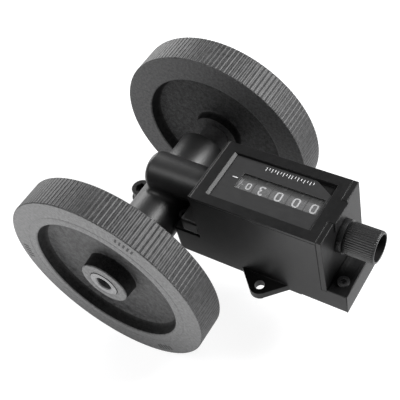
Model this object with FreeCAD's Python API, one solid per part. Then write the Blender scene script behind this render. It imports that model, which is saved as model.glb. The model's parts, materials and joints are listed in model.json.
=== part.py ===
import FreeCAD, Part
import math
import os

# Cable length counter with two rolling wheels, in millimetres.
# The origin is midway between the two ear holes, on the underside. X runs forward to the
# reset knob, Y runs along the wheel axle towards the far wheel, and Z points up.

V = FreeCAD.Vector
X_AXIS = V(1, 0, 0)
Y_AXIS = V(0, 1, 0)
Z_AXIS = V(0, 0, 1)
NEAR_AND_FAR = (("near", -1), ("far", 1))

# Clearances
running_gap = 0.05
sliding_gap = 0.1
loose_gap = 0.3
cutter_overrun = 1.0
same_place = 0.01

# Case
case_rear_x = -33.4
case_width = 36.6
side_wall = 2.0
rear_wall = 2.2
floor_thickness = 2.5
rear_rim = 1.3
case_edge_round = 0.4
foot_height = 12.5
front_foot_length = 12.1
rear_foot_length = 15.4
rear_foot_height = 16.5
rear_foot_round = 2.0
rear_foot_top_round = 1.2
front_relief = 0.6
front_relief_start = 18.5
base_plate_thickness = 1.5
base_plate_margin = 2.0

# Mounting ears
ear_hole_spacing = 47.0
ear_hole_r = 2.4
ear_tip_r = 5.0
ear_thickness = 4.0
ear_root = 1.0

# Foot screws, M3 socket head
foot_screw_half_spacing = 11.3
foot_screw_from_plate = 4.8
m3_shank_r = 1.5
m3_head_r = 2.75
m3_head_height = 3.0
m3_socket_r = 1.45
m3_socket_depth = 1.6
foot_counterbore_depth = 2.0

# Front plate
front_plate_thickness = 2.6
front_tongue_depth = 1.0

# Top cover with its label and window
cover_thickness = 1.6
tray_depth = 1.8
tray_side_gap = 0.4
label_from_rear = 8.0
label_from_front = 5.1
label_half_width = 13.0
label_recess = 1.2
label_thickness = 0.8
label_cut_x = 9.5
label_cut_y = 5.5
bevel_rear = 1.7
bevel_side = 0.3
window_rear_inset = 1.9
window_front_inset = 0.7
window_half_width = 4.5
lens_overlap = 1.0
lens_thickness = 1.0
tab_half_width = 6.3
tab_thickness = 0.9
tab_drop = 5.5

# Gear pair: the axle gear drives the counter shaft at a third of the wheel speed
turns_ratio = 3.0
axle_gear_teeth = 6
axle_gear_pitch_r = 9.7
axle_gear_width = 12.0
driven_gear_pitch_r = 7.5
driven_gear_rear = 3.6
driven_gear_front = 5.0
gear_addendum = 0.65
gear_dedendum = 0.9
gear_tooth_share = 0.43
gear_flank_share = 0.2
loft_step_degrees = 15.0

# Axle and wheels
axle_back = 62.7
axle_r = 4.0
axle_end_inset = 2.8
axle_chamfer = 0.6
wheel_r = 53.05
wheel_width = 16.1
wheel_outer_y = 57.7
wheel_edge_round = 1.3
rim_inner_r = 39.0
rim_draft = 1.9
web_outer_depth = 6.2
web_inner_depth = 6.0
hub_r = 12.6
hub_web_outer_depth = 7.0
hub_proud = 0.8
boss_inner_depth = 1.5
sleeve_r = 7.4
sleeve_proud = 0.3
sleeve_nose_r = 5.8
sleeve_nose_length = 2.8
hub_mouth_chamfer = 0.35
set_screw_r = 2.0
set_screw_from_nose = 3.2
set_screw_depth = 3.1
axle_flat_depth = 0.3

# Wheel bearings, 8 x 22 x 7
bearing_r = 11.0
bearing_width = 7.0
bearing_outer_wall = 1.7
bearing_inner_wall = 2.0
ball_r = 1.98
ball_count = 7
race_groove_gap = 0.02
cage_half_width = 2.6
cage_half_height = 0.55
circlip_thickness = 1.0
circlip_from_end = 1.0
circlip_depth = 0.6
circlip_inner_r = 9.9
circlip_gap_half_angle = 12.0

# Gear housing
tube_r = 13.3
tube_half_length = 31.1
tube_bore_r = 10.6
arm_r = 9.7
arm_front_r = 9.1
arm_bore_r = 8.4
arm_end_back = 5.4
arm_end_wall = 1.3
arm_end_round = 3.0
cast_fillet = 3.0
block_length = 9.5
block_above_foot = 0.5
block_below_shaft = 4.8
block_edge_round = 1.6
block_screw_from_wall = 3.8
block_screw_depth = 7.0
spigot_r = 9.0
spigot_length = 1.8
lug_back = 19.7
lug_r = 6.2
lug_thickness = 3.8
lug_screw_head_r = 5.0
lug_screw_head_height = 6.0
lug_screw_shank_r = 2.5
lug_screw_socket_r = 2.9
lug_screw_socket_depth = 3.0
pin_cover = 0.8

# Counter shaft and its bushes
drive_shaft_r = 2.5
drive_bush_length = 8.0
rear_bush_from_gear = 1.5
front_bush_from_spigot = 1.0
drive_pin_r = 0.75

# Number drums, with a transfer pinion inside each rim on a carrier plate between the drums
drum_count = 5
drum_pitch = 8.6
drum_r = 11.9
drum_shell = 1.3
drum_gap = 0.6
drum_web = 1.6
drum_hub_r = 4.4
drum_neck_r = 3.1
ring_depth = 1.8
ring_teeth = 20
ring_from_rim = 1.9
pinion_teeth = 6
pinion_width = 1.2
drum_addendum = 0.75
drum_dedendum = 1.0
drum_tooth_share = 0.4
drum_flank_share = 0.2
carrier_thickness = 0.4
carrier_inset = 0.3
carrier_arm_half = 4.0
carrier_bore_gap = 0.2
carrier_seat = 2.0
stud_r = 0.9
carrier_bar_half = 6.0
carrier_bar_height = 3.5
drum_shaft_r = 2.5
drum_shaft_groove = 0.5

# Frame of the counter
frame_plate = 1.6
frame_side_gap = 0.3
frame_from_drum = 1.2
frame_rear_space = 7.4
frame_front_space = 2.9
coupling_r = 5.0
coupling_flange_r = 8.0
coupling_flange = 1.6
coupling_tail = 3.6
dog_r = 1.1
dog_circle_r = 7.0
tie_rod_r = 1.6
tie_rod_shoulder = 0.6
tie_rod_half_spacing = 13.0
tie_rod_height = 8.0
clip_thickness = 0.6
clip_r = 4.2
clip_groove = 0.5

# Reset knob
bush_flange_r = 7.9
bush_flange = 2.7
bush_nose_r = 5.5
knob_r = 7.5
knob_length = 14.5
knob_wall = 0.8
knob_cup_depth = 9.0
knob_gap = 0.2
knob_ridges = 44
knob_ridge_height = 0.35
knob_chamfer = 0.4
knob_screw_head_r = 2.6
knob_screw_head_height = 1.8
knob_screw_grip = 4.0

# Places worked out from the driving values
inner_rear_x = case_rear_x + rear_wall
rear_frame_x = inner_rear_x + frame_rear_space
drum_back_x = rear_frame_x + frame_plate + loose_gap + coupling_flange + frame_from_drum
drum_front_x = drum_back_x + drum_count * drum_pitch
front_frame_x = drum_front_x + frame_from_drum
case_front_x = front_frame_x + frame_plate + frame_front_space
case_half = case_width / 2
inner_half = case_half - side_wall
floor_z = base_plate_thickness + floor_thickness
plate_front_x = case_front_x + front_plate_thickness
axle_x = -axle_back
axle_height = tube_r
axle_centre = V(axle_x, 0, axle_height)
shaft_z = axle_height + axle_gear_pitch_r + driven_gear_pitch_r
case_height = shaft_z + drum_r + loose_gap + tray_depth + cover_thickness
cover_bottom_z = case_height - cover_thickness
tray_bottom_z = cover_bottom_z - tray_depth
label_rear_x = case_rear_x + label_from_rear
label_front_x = case_front_x - label_from_front
label_top_z = case_height - label_recess
label_bottom_z = label_top_z - label_thickness
window_rear_x = drum_back_x + window_rear_inset
window_front_x = drum_front_x - window_front_inset
foot_screw_front_x = plate_front_x + foot_screw_from_plate
foot_screw_rear_x = case_rear_x - (rear_foot_length + block_length) / 2
front_seat_z = foot_height - foot_counterbore_depth
rear_foot_x = case_rear_x - rear_foot_length
ring_pitch_r = drum_r - ring_from_rim
pinion_pitch_r = ring_pitch_r * pinion_teeth / ring_teeth
pinion_z = shaft_z - ring_pitch_r + pinion_pitch_r
carrier_r = drum_r - carrier_inset
bearing_outer_y = tube_half_length - circlip_thickness - circlip_from_end
bearing_inner_y = bearing_outer_y - bearing_width
bearing_outer_land_r = bearing_r - bearing_outer_wall
bearing_inner_land_r = axle_r + bearing_inner_wall
ball_track_r = (bearing_outer_land_r + bearing_inner_land_r) / 2
sleeve_start_y = bearing_outer_y
sleeve_body_y = sleeve_start_y + sleeve_nose_length
sleeve_end_y = wheel_outer_y + hub_proud + sleeve_proud
set_screw_y = sleeve_body_y + set_screw_from_nose
axle_half_length = sleeve_end_y - axle_end_inset
spigot_end_x = case_rear_x + spigot_length
block_low_z = rear_foot_height + block_above_foot
block_high_z = shaft_z - block_below_shaft
block_screw_half_y = inner_half - block_screw_from_wall
block_screw_z = (block_low_z + block_high_z) / 2
gear_pin_reach = axle_gear_pitch_r - gear_dedendum - pin_cover
driven_pin_reach = driven_gear_pitch_r - gear_dedendum - pin_cover
gear_rear_x = axle_x - driven_gear_rear
gear_front_x = axle_x + driven_gear_front
driven_pin_x = gear_front_x - driven_gear_front / 2
rear_bush_x = gear_front_x + rear_bush_from_gear
front_bush_x = spigot_end_x - front_bush_from_spigot - drive_bush_length
coupling_start_x = rear_frame_x - coupling_tail
coupling_end_x = drum_back_x - frame_from_drum / 2
coupling_pin_x = coupling_start_x + coupling_tail / 2
drive_shaft_end_x = rear_frame_x + frame_plate / 2
bush_front_x = plate_front_x + bush_flange
knob_rear_x = bush_front_x + knob_gap
knob_front_x = knob_rear_x + knob_length
knob_floor_x = knob_front_x - knob_cup_depth


def box(x0, x1, y0, y1, z0, z1):
    """Block between two corners."""
    return Part.makeBox(x1 - x0, y1 - y0, z1 - z0, V(x0, y0, z0))


def rod_x(x0, x1, r, y=0.0, z=None):
    """Cylinder along X, on the counter shaft's line unless another place is given."""
    return Part.makeCylinder(r, x1 - x0, V(x0, y, shaft_z if z is None else z), X_AXIS)


def rod_y(y0, y1, r):
    """Cylinder along the wheel axle."""
    return Part.makeCylinder(r, y1 - y0, V(axle_x, y0, axle_height), Y_AXIS)


def rod_z(x, y, z0, z1, r):
    """Upright cylinder."""
    return Part.makeCylinder(r, z1 - z0, V(x, y, z0), Z_AXIS)


def prism(points, length):
    """Solid made by pushing a flat polygon along a vector."""
    wire = Part.makePolygon(points + [points[0]])
    return Part.Face(wire).extrude(length)


def hexagon_x(x0, x1, corner_r, y=0.0, z=0.0):
    """Hexagonal prism along X."""
    turn = math.pi / 3
    points = [V(x0, y + corner_r * math.cos(i * turn), z + corner_r * math.sin(i * turn)) for i in range(6)]
    return prism(points, V(x1 - x0, 0, 0))


def hexagon_z(x, y, z0, z1, corner_r):
    """Upright hexagonal prism."""
    turn = math.pi / 3
    points = [V(x + corner_r * math.cos(i * turn), y + corner_r * math.sin(i * turn), z0) for i in range(6)]
    return prism(points, V(0, 0, z1 - z0))


def ring_of_revolution(profile):
    """Solid turned about the wheel axle from (radius, y) points."""
    points = [V(axle_x, y, axle_height + r) for r, y in profile]
    face = Part.Face(Part.makePolygon(points + [points[0]]))
    return face.revolve(axle_centre, Y_AXIS, 360)


def tooth_angles(teeth, tip_share, root_share, start):
    """Angle and tip flag of every corner of a toothed outline, with a midpoint on each land."""
    pitch = 2 * math.pi / teeth
    corners = []
    for tooth in range(teeth):
        centre = start + tooth * pitch
        corners.append((centre - pitch * root_share / 2, False))
        for side in (-0.5, 0.0, 0.5):
            corners.append((centre + side * pitch * tip_share, True))
        corners.append((centre + pitch * root_share / 2, False))
        corners.append((centre + pitch / 2, False))
    return corners


def twisted_gear(place, teeth, tip_r, root_r, share, flank, start, first, last, twist):
    """Gear lofted between sections from first to last along its axis, turned by twist radians per mm."""
    corners = tooth_angles(teeth, share - flank, share + flank, start)
    steps = max(1, math.ceil(abs(twist) * (last - first) / math.radians(loft_step_degrees)))
    wires = []
    for step in range(steps + 1):
        along = first + (last - first) * step / steps
        points = []
        for angle, on_tip in corners:
            points.append(place(tip_r if on_tip else root_r, angle + twist * along, along))
        wires.append(Part.makePolygon(points + [points[0]]))
    return Part.makeLoft(wires, True, True)


def around_axle(r, angle, along):
    """Point round the wheel axle, with angle zero straight up."""
    return V(axle_x + r * math.sin(angle), along, axle_height + r * math.cos(angle))


def around_shaft(r, angle, along):
    """Point round the counter shaft, with angle zero straight down and along measured from the axle."""
    return V(axle_x + along, r * math.sin(angle), shaft_z - r * math.cos(angle))


def socket_screw_down(x, y, seat_z, tip_z, shank_r, head_r, head_height, socket_r, socket_depth):
    """Socket head screw pointing down, with its head on seat_z."""
    top = seat_z + head_height
    screw = rod_z(x, y, seat_z, top, head_r).fuse(rod_z(x, y, tip_z, seat_z, shank_r))
    return screw.cut(hexagon_z(x, y, top - socket_depth, top + cutter_overrun, socket_r))


def save(name, shape):
    """Write one node."""
    shape.exportStep("parts/" + name + ".step")


def make_ear(side):
    """Flat lug on the case side with a hole, tapering at 45 degrees to its round tip."""
    hole_y = ear_hole_spacing / 2
    wall_y = case_half - ear_root
    lean = ear_tip_r * math.sin(math.pi / 4)
    base_half = ear_tip_r / math.sin(math.pi / 4) + hole_y - wall_y
    left = V(-lean, hole_y + lean, 0)
    right = V(lean, hole_y + lean, 0)
    outline = [
        Part.makeLine(V(-base_half, wall_y, 0), left),
        Part.Arc(left, V(0, hole_y + ear_tip_r, 0), right).toShape(),
        Part.makeLine(right, V(base_half, wall_y, 0)),
        Part.makeLine(V(base_half, wall_y, 0), V(-base_half, wall_y, 0)),
    ]
    ear = Part.Face(Part.Wire(outline)).extrude(V(0, 0, ear_thickness))
    if side < 0:
        ear = ear.mirror(V(0, 0, 0), Y_AXIS)
    return ear


def foot_screw_places():
    """Centre and head seat of each of the four foot screws."""
    places = []
    for x, seat in ((foot_screw_front_x, front_seat_z), (foot_screw_rear_x, rear_foot_height)):
        for side in (-1, 1):
            places.append((x, side * foot_screw_half_spacing, seat))
    return places


def block_screw_places():
    """Centres of the screws that hold the gear housing's block to the case, as (y, z)."""
    return [(side * block_screw_half_y, block_screw_z) for side in (-1, 1)]


def upright_edges(shape):
    """Straight edges that run up and down."""
    return [e for e in shape.Edges if e.BoundBox.XLength < same_place and e.BoundBox.YLength < same_place]


def make_rear_foot():
    """Rear foot, rounded at its end and along its top. It reaches a little way into the case."""
    foot = box(rear_foot_x, case_rear_x + case_edge_round, -case_half, case_half, 0, rear_foot_height)
    ends = [e for e in upright_edges(foot) if abs(e.CenterOfMass.x - rear_foot_x) < same_place]
    foot = foot.makeFillet(rear_foot_round, ends)
    rim = [e for e in foot.Edges if abs(e.BoundBox.ZMin - rear_foot_height) < same_place
           and e.CenterOfMass.x < case_rear_x]
    return foot.makeFillet(rear_foot_top_round, rim)


def make_case():
    """Cast case with both feet and both ears, open at the top and front."""
    front_foot_x = case_front_x + front_foot_length
    block = box(case_rear_x, case_front_x, -case_half, case_half, 0, case_height)
    block = block.fuse(box(case_front_x, front_foot_x, -case_half, case_half, 0, foot_height)).removeSplitter()
    block = block.makeFillet(case_edge_round, upright_edges(block))
    block = block.fuse([make_rear_foot(), make_ear(-1), make_ear(1)]).removeSplitter()
    cuts = [
        box(inner_rear_x, case_front_x, -inner_half, inner_half, floor_z, case_height + cutter_overrun),
        box(case_rear_x + rear_rim, case_front_x + cutter_overrun, -case_half - cutter_overrun,
            case_half + cutter_overrun, cover_bottom_z, case_height + cutter_overrun),
        box(case_front_x, plate_front_x, -case_half - cutter_overrun, case_half + cutter_overrun,
            foot_height - front_tongue_depth, foot_height + cutter_overrun),
        box(rear_foot_x + base_plate_margin, front_foot_x - base_plate_margin,
            -case_half + base_plate_margin, case_half - base_plate_margin, 0, base_plate_thickness),
        rod_x(case_rear_x - cutter_overrun, inner_rear_x + cutter_overrun, spigot_r + sliding_gap),
        box(front_foot_x - base_plate_margin, front_foot_x + cutter_overrun,
            -case_half - cutter_overrun, case_half + cutter_overrun, -cutter_overrun, front_relief),
    ]
    for side in (-1, 1):
        outer_y = side * (case_half + cutter_overrun)
        inner_y = side * (case_half - base_plate_margin)
        cuts.append(box(front_relief_start, front_foot_x + cutter_overrun, min(outer_y, inner_y),
                        max(outer_y, inner_y), -cutter_overrun, front_relief))
        cuts.append(rod_z(0, side * ear_hole_spacing / 2, -cutter_overrun, ear_thickness + cutter_overrun,
                          ear_hole_r))
    for x, y, seat in foot_screw_places():
        cuts.append(rod_z(x, y, 0, seat + cutter_overrun, m3_shank_r + sliding_gap))
        cuts.append(rod_z(x, y, seat, seat + m3_head_height, m3_head_r + sliding_gap))
    for y, z in block_screw_places():
        cuts.append(rod_x(case_rear_x - cutter_overrun, inner_rear_x + cutter_overrun,
                          m3_shank_r + sliding_gap, y, z))
    return block.cut(cuts)


def make_base_plate():
    """Steel plate that closes the underside, tapped for the four foot screws."""
    edge = sliding_gap
    plate = box(rear_foot_x + base_plate_margin + edge,
                case_front_x + front_foot_length - base_plate_margin - edge,
                -case_half + base_plate_margin + edge, case_half - base_plate_margin - edge,
                0, base_plate_thickness)
    return plate.cut([rod_z(x, y, -cutter_overrun, base_plate_thickness + cutter_overrun, m3_shank_r)
                      for x, y, seat in foot_screw_places()])


def make_foot_screws(x, seat):
    """Both screws of one foot, whose heads sit at a height."""
    screws = []
    for side in (-1, 1):
        screws.append(socket_screw_down(x, side * foot_screw_half_spacing, seat, 0, m3_shank_r,
                                        m3_head_r, m3_head_height, m3_socket_r, m3_socket_depth))
    return Part.makeCompound(screws)


def make_front_plate():
    """Flat plate over the front opening, with a tongue in the foot and a seat for the tab."""
    plate = box(case_front_x, plate_front_x, -case_half, case_half,
                foot_height - front_tongue_depth, case_height)
    seat = box(case_front_x - cutter_overrun, plate_front_x + cutter_overrun,
               -tab_half_width - sliding_gap, tab_half_width + sliding_gap,
               case_height - tab_thickness, case_height + cutter_overrun)
    hole = rod_x(case_front_x - cutter_overrun, plate_front_x + cutter_overrun, bush_nose_r)
    return plate.cut([seat, hole])


def make_top_cover():
    """Top cover: a flat frame with a tray for the label and a tab bent down over the front plate."""
    rear_x = case_rear_x + rear_rim
    tab_front_x = plate_front_x + tab_thickness
    top = box(rear_x, case_front_x, -case_half, case_half, cover_bottom_z, case_height)
    tray_half = inner_half - tray_side_gap
    tray = box(inner_rear_x + tray_side_gap, case_front_x - tray_side_gap, -tray_half, tray_half,
               tray_bottom_z, cover_bottom_z)
    tab = box(case_front_x, tab_front_x, -tab_half_width, tab_half_width,
              case_height - tab_thickness, case_height)
    fold = box(plate_front_x, tab_front_x, -tab_half_width, tab_half_width,
               case_height - tab_drop, case_height)
    cover = top.fuse([tray, tab, fold]).removeSplitter()
    lower = [(label_rear_x, -label_half_width), (label_front_x, -label_half_width),
             (label_front_x, label_half_width), (label_rear_x, label_half_width)]
    upper = [(label_rear_x - bevel_rear, -label_half_width - bevel_side),
             (label_front_x + bevel_side, -label_half_width - bevel_side),
             (label_front_x + bevel_side, label_half_width + bevel_side),
             (label_rear_x - bevel_rear, label_half_width + bevel_side)]
    low_points = [V(x, y, label_top_z) for x, y in lower]
    high_points = [V(x, y, case_height) for x, y in upper]
    funnel = Part.makeLoft([Part.makePolygon(low_points + [low_points[0]]),
                            Part.makePolygon(high_points + [high_points[0]])], True, True)
    seat = box(label_rear_x, label_front_x, -label_half_width, label_half_width,
               label_bottom_z, label_top_z)
    hole = box(window_rear_x - lens_overlap, window_front_x + lens_overlap,
               -window_half_width - lens_overlap, window_half_width + lens_overlap,
               tray_bottom_z - cutter_overrun, label_bottom_z)
    return cover.cut([funnel, seat, hole])


def make_label_plate():
    """Thin plate with the reading window and one cut corner."""
    edge = sliding_gap
    x0 = label_rear_x + edge
    x1 = label_front_x - edge
    y1 = label_half_width - edge
    points = [V(x0, -y1, label_bottom_z), V(x1, -y1, label_bottom_z), V(x1, y1 - label_cut_y, label_bottom_z),
              V(x1 - label_cut_x, y1, label_bottom_z), V(x0, y1, label_bottom_z)]
    plate = prism(points, V(0, 0, label_thickness))
    return plate.cut(box(window_rear_x, window_front_x, -window_half_width, window_half_width,
                         label_bottom_z - cutter_overrun, label_top_z + cutter_overrun))


def make_window_lens():
    """Clear lens under the label, in the cover's window hole."""
    return box(window_rear_x - lens_overlap, window_front_x + lens_overlap,
               -window_half_width - lens_overlap, window_half_width + lens_overlap,
               label_bottom_z - lens_thickness, label_bottom_z)


def seam_edges(shape):
    """Edges where the cross tube's wall meets the arm."""
    edges = []
    for edge in shape.Edges:
        kinds = [type(face.Surface) for face in shape.Faces if any(edge.isSame(e) for e in face.Edges)]
        inside = abs(edge.CenterOfMass.y) < tube_half_length - same_place
        if inside and len(kinds) == 2 and kinds.count(Part.Cylinder) == 1:
            edges.append(edge)
    return edges


def make_gear_housing():
    """Cast housing: a cross tube for the axle, an arm for the counter shaft, a block and a rear lug."""
    arm_rear_x = axle_x - arm_end_back
    arm = Part.makeCone(arm_r, arm_front_r, case_rear_x - arm_rear_x, V(arm_rear_x, 0, shaft_z), X_AXIS)
    rear_edge = [e for e in arm.Edges if abs(e.CenterOfMass.x - arm_rear_x) < same_place]
    arm = arm.makeFillet(arm_end_round, rear_edge)
    block = box(case_rear_x - block_length, case_rear_x, -case_half, case_half, block_low_z, block_high_z)
    block = block.makeFillet(block_edge_round, [e for e in block.Edges if e.CenterOfMass.x < case_rear_x])
    lug_x = axle_x - lug_back
    lug = rod_z(lug_x, 0, 0, lug_thickness, lug_r).fuse(
        box(lug_x, axle_x - tube_r / 2, -lug_r, lug_r, 0, lug_thickness))
    crossing = rod_y(-tube_half_length, tube_half_length, tube_r).fuse(arm).removeSplitter()
    crossing = crossing.makeFillet(cast_fillet, seam_edges(crossing))
    body = crossing.fuse([block, lug, rod_x(case_rear_x, spigot_end_x, spigot_r)]).removeSplitter()
    cuts = [
        rod_y(-tube_half_length, tube_half_length, tube_bore_r),
        rod_x(arm_rear_x + arm_end_wall, spigot_end_x + cutter_overrun, arm_bore_r),
        rod_z(lug_x, 0, -cutter_overrun, lug_thickness + cutter_overrun, lug_screw_shank_r),
    ]
    for name, side in NEAR_AND_FAR:
        seat = rod_y(bearing_inner_y, tube_half_length + cutter_overrun, bearing_r)
        groove = rod_y(bearing_outer_y, bearing_outer_y + circlip_thickness, bearing_r + circlip_depth)
        for cutter in (seat, groove):
            cuts.append(cutter if side > 0 else cutter.mirror(V(0, 0, 0), Y_AXIS))
    for y, z in block_screw_places():
        cuts.append(rod_x(case_rear_x - block_screw_depth, case_rear_x + cutter_overrun, m3_shank_r, y, z))
    return body.cut(cuts)


def make_block_screws():
    """Socket screws that hold the housing's block to the case, with their heads inside the case."""
    head_x = inner_rear_x + m3_head_height
    screws = []
    for y, z in block_screw_places():
        head = rod_x(inner_rear_x, head_x, m3_head_r, y, z)
        shank = rod_x(case_rear_x - block_screw_depth, inner_rear_x, m3_shank_r, y, z)
        socket = hexagon_x(head_x - m3_socket_depth, head_x + cutter_overrun, m3_socket_r, y, z)
        screws.append(head.fuse(shank).cut(socket))
    return Part.makeCompound(screws)


def make_lug_screw():
    """Socket head screw in the rear lug."""
    return socket_screw_down(axle_x - lug_back, 0, lug_thickness, 0, lug_screw_shank_r,
                             lug_screw_head_r, lug_screw_head_height,
                             lug_screw_socket_r, lug_screw_socket_depth)


def on_side(shape, side):
    """The shape as made for the far side, or its mirror image for the near side."""
    return shape if side > 0 else shape.mirror(V(0, 0, 0), Y_AXIS)


def make_wheel():
    """Moulded wheel, dished on both sides, with a hub that stands out of the web."""
    outer = wheel_outer_y
    inner = wheel_outer_y - wheel_width
    hub_face = outer + hub_proud
    foot_r = rim_inner_r - rim_draft
    profile = [
        (sleeve_r, inner + boss_inner_depth), (hub_r, inner + boss_inner_depth),
        (hub_r, inner + web_inner_depth), (foot_r, inner + web_inner_depth), (rim_inner_r, inner),
        (wheel_r - wheel_edge_round, inner), (wheel_r, inner + wheel_edge_round),
        (wheel_r, outer - wheel_edge_round), (wheel_r - wheel_edge_round, outer),
        (rim_inner_r, outer), (foot_r, outer - web_outer_depth),
        (hub_r, outer - hub_web_outer_depth), (hub_r, hub_face),
        (sleeve_r + hub_mouth_chamfer, hub_face), (sleeve_r, hub_face - hub_mouth_chamfer),
    ]
    return ring_of_revolution(profile)


def make_hub_sleeve():
    """Steel sleeve through the hub, with a nose against the bearing and a radial set screw hole."""
    profile = [
        (axle_r, sleeve_start_y), (sleeve_nose_r, sleeve_start_y), (sleeve_nose_r, sleeve_body_y),
        (sleeve_r, sleeve_body_y), (sleeve_r, sleeve_end_y), (axle_r + axle_chamfer, sleeve_end_y),
        (axle_r, sleeve_end_y - axle_chamfer),
    ]
    sleeve = ring_of_revolution(profile)
    return sleeve.cut(rod_z(axle_x, set_screw_y, axle_height - sleeve_r - cutter_overrun, axle_height,
                            set_screw_r))


def make_set_screw():
    """Cup point set screw that clamps one sleeve on a flat of the axle."""
    point_z = axle_height - axle_r + axle_flat_depth
    screw = rod_z(axle_x, set_screw_y, point_z - set_screw_depth, point_z, set_screw_r)
    return screw.cut(hexagon_z(axle_x, set_screw_y, point_z - set_screw_depth - cutter_overrun,
                               point_z - set_screw_depth / 2, set_screw_r / 2))


def make_axle():
    """Plain axle with chamfered ends and a flat under each set screw."""
    axle = rod_y(-axle_half_length, axle_half_length, axle_r)
    axle = axle.makeChamfer(axle_chamfer, [e for e in axle.Edges if len(e.Vertexes) == 1])
    flat_z = axle_height - axle_r + axle_flat_depth
    cuts = [make_axle_gear_pin()]
    for name, side in NEAR_AND_FAR:
        flat_y = side * set_screw_y
        cuts.append(box(axle_x - axle_r, axle_x + axle_r, flat_y - set_screw_r, flat_y + set_screw_r,
                        flat_z - axle_r, flat_z))
    return axle.cut(cuts)


def make_axle_gear():
    """Steep helical gear on the axle."""
    gear = twisted_gear(around_axle, axle_gear_teeth, axle_gear_pitch_r + gear_addendum,
                        axle_gear_pitch_r - gear_dedendum, gear_tooth_share, gear_flank_share, 0.0,
                        -axle_gear_width / 2, axle_gear_width / 2, -turns_ratio / driven_gear_pitch_r)
    bore = rod_y(-axle_gear_width, axle_gear_width, axle_r)
    return gear.cut([bore, make_axle_gear_pin()])


def make_axle_gear_pin():
    """Cross pin that fixes the gear on the axle."""
    return rod_z(axle_x, 0, axle_height - gear_pin_reach, axle_height + gear_pin_reach, drive_pin_r)


def make_driven_gear():
    """Gear on the counter shaft, with a tooth space over the axle gear's top tooth."""
    teeth = round(axle_gear_teeth * turns_ratio)
    gear = twisted_gear(around_shaft, teeth, driven_gear_pitch_r + gear_addendum,
                        driven_gear_pitch_r - gear_dedendum, gear_tooth_share, gear_flank_share,
                        math.pi / teeth, -driven_gear_rear, driven_gear_front,
                        -1.0 / (turns_ratio * axle_gear_pitch_r))
    bore = rod_x(gear_rear_x - cutter_overrun, gear_front_x + cutter_overrun, drive_shaft_r)
    return gear.cut([bore, make_driven_gear_pin()])


def make_driven_gear_pin():
    """Cross pin that fixes the driven gear on the counter shaft."""
    return rod_z(driven_pin_x, 0, shaft_z - driven_pin_reach, shaft_z + driven_pin_reach, drive_pin_r)


def make_bearing_ring(outer):
    """Outer or inner ring of a wheel bearing, with its ball groove."""
    y0 = bearing_inner_y
    y1 = bearing_outer_y
    if outer:
        profile = [(bearing_outer_land_r, y0), (bearing_r, y0), (bearing_r, y1), (bearing_outer_land_r, y1)]
    else:
        profile = [(axle_r, y0), (bearing_inner_land_r, y0), (bearing_inner_land_r, y1), (axle_r, y1)]
    middle = (y0 + y1) / 2
    groove = Part.makeTorus(ball_track_r, ball_r + race_groove_gap, V(axle_x, middle, axle_height), Y_AXIS)
    return ring_of_revolution(profile).cut(groove)


def make_ball_set():
    """Balls of one wheel bearing, in their riveted cage."""
    middle = (bearing_inner_y + bearing_outer_y) / 2
    cage_start = middle - cage_half_width
    cage_end = middle + cage_half_width
    cage = rod_y(cage_start, cage_end, ball_track_r + cage_half_height)
    cage = cage.cut(rod_y(cage_start, cage_end, ball_track_r - cage_half_height))
    balls = []
    for i in range(ball_count):
        angle = 2 * math.pi * i / ball_count
        balls.append(Part.makeSphere(ball_r, V(axle_x + ball_track_r * math.sin(angle), middle,
                                               axle_height + ball_track_r * math.cos(angle))))
    return cage.cut(balls), Part.makeCompound(balls)


def make_circlip():
    """Internal retaining ring in the end of the cross tube."""
    y0 = bearing_outer_y
    y1 = y0 + circlip_thickness
    ring = rod_y(y0, y1, bearing_r + circlip_depth).cut(rod_y(y0, y1, circlip_inner_r))
    half = (bearing_r + circlip_depth) * math.tan(math.radians(circlip_gap_half_angle))
    return ring.cut(box(axle_x - half, axle_x + half, y0, y1, axle_height - tube_r, axle_height))


def make_drive_bush(x0):
    """Bronze bush for the counter shaft in the housing arm."""
    return rod_x(x0, x0 + drive_bush_length, arm_bore_r).cut(
        rod_x(x0, x0 + drive_bush_length, drive_shaft_r + running_gap))


def make_drive_shaft():
    """Counter shaft from the driven gear to the coupling."""
    return rod_x(gear_rear_x, drive_shaft_end_x, drive_shaft_r).cut([
        make_driven_gear_pin(), make_coupling_pin()])


def make_coupling():
    """Coupling that turns the first drum through two dogs, and carries the drum shaft's rear end."""
    flange_x = coupling_end_x - coupling_flange
    body = rod_x(coupling_start_x, coupling_end_x, coupling_r).fuse([
        rod_x(flange_x, coupling_end_x, coupling_flange_r)] + [
        rod_x(coupling_end_x, drum_back_x + drum_gap / 2 + drum_web, dog_r, side * dog_circle_r)
        for side in (-1, 1)])
    return body.cut([
        rod_x(coupling_start_x, drive_shaft_end_x, drive_shaft_r),
        rod_x(drive_shaft_end_x, coupling_end_x, drum_shaft_r + running_gap),
        make_coupling_pin()])


def make_coupling_pin():
    """Cross pin of the coupling."""
    return rod_z(coupling_pin_x, 0, shaft_z - coupling_r, shaft_z + coupling_r, drive_pin_r)


def spur_outline(teeth, share, tip_r, root_r, centre_z, start, x0):
    """Closed outline of a spur gear, with angle zero straight down."""
    points = []
    for angle, on_tip in tooth_angles(teeth, share - drum_flank_share, share + drum_flank_share, start):
        r = tip_r if on_tip else root_r
        points.append(V(x0, r * math.sin(angle), centre_z - r * math.cos(angle)))
    return points


def drum_start(index):
    """Rear face of a drum; the first drum is number 0."""
    return drum_back_x + index * drum_pitch + drum_gap / 2


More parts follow.
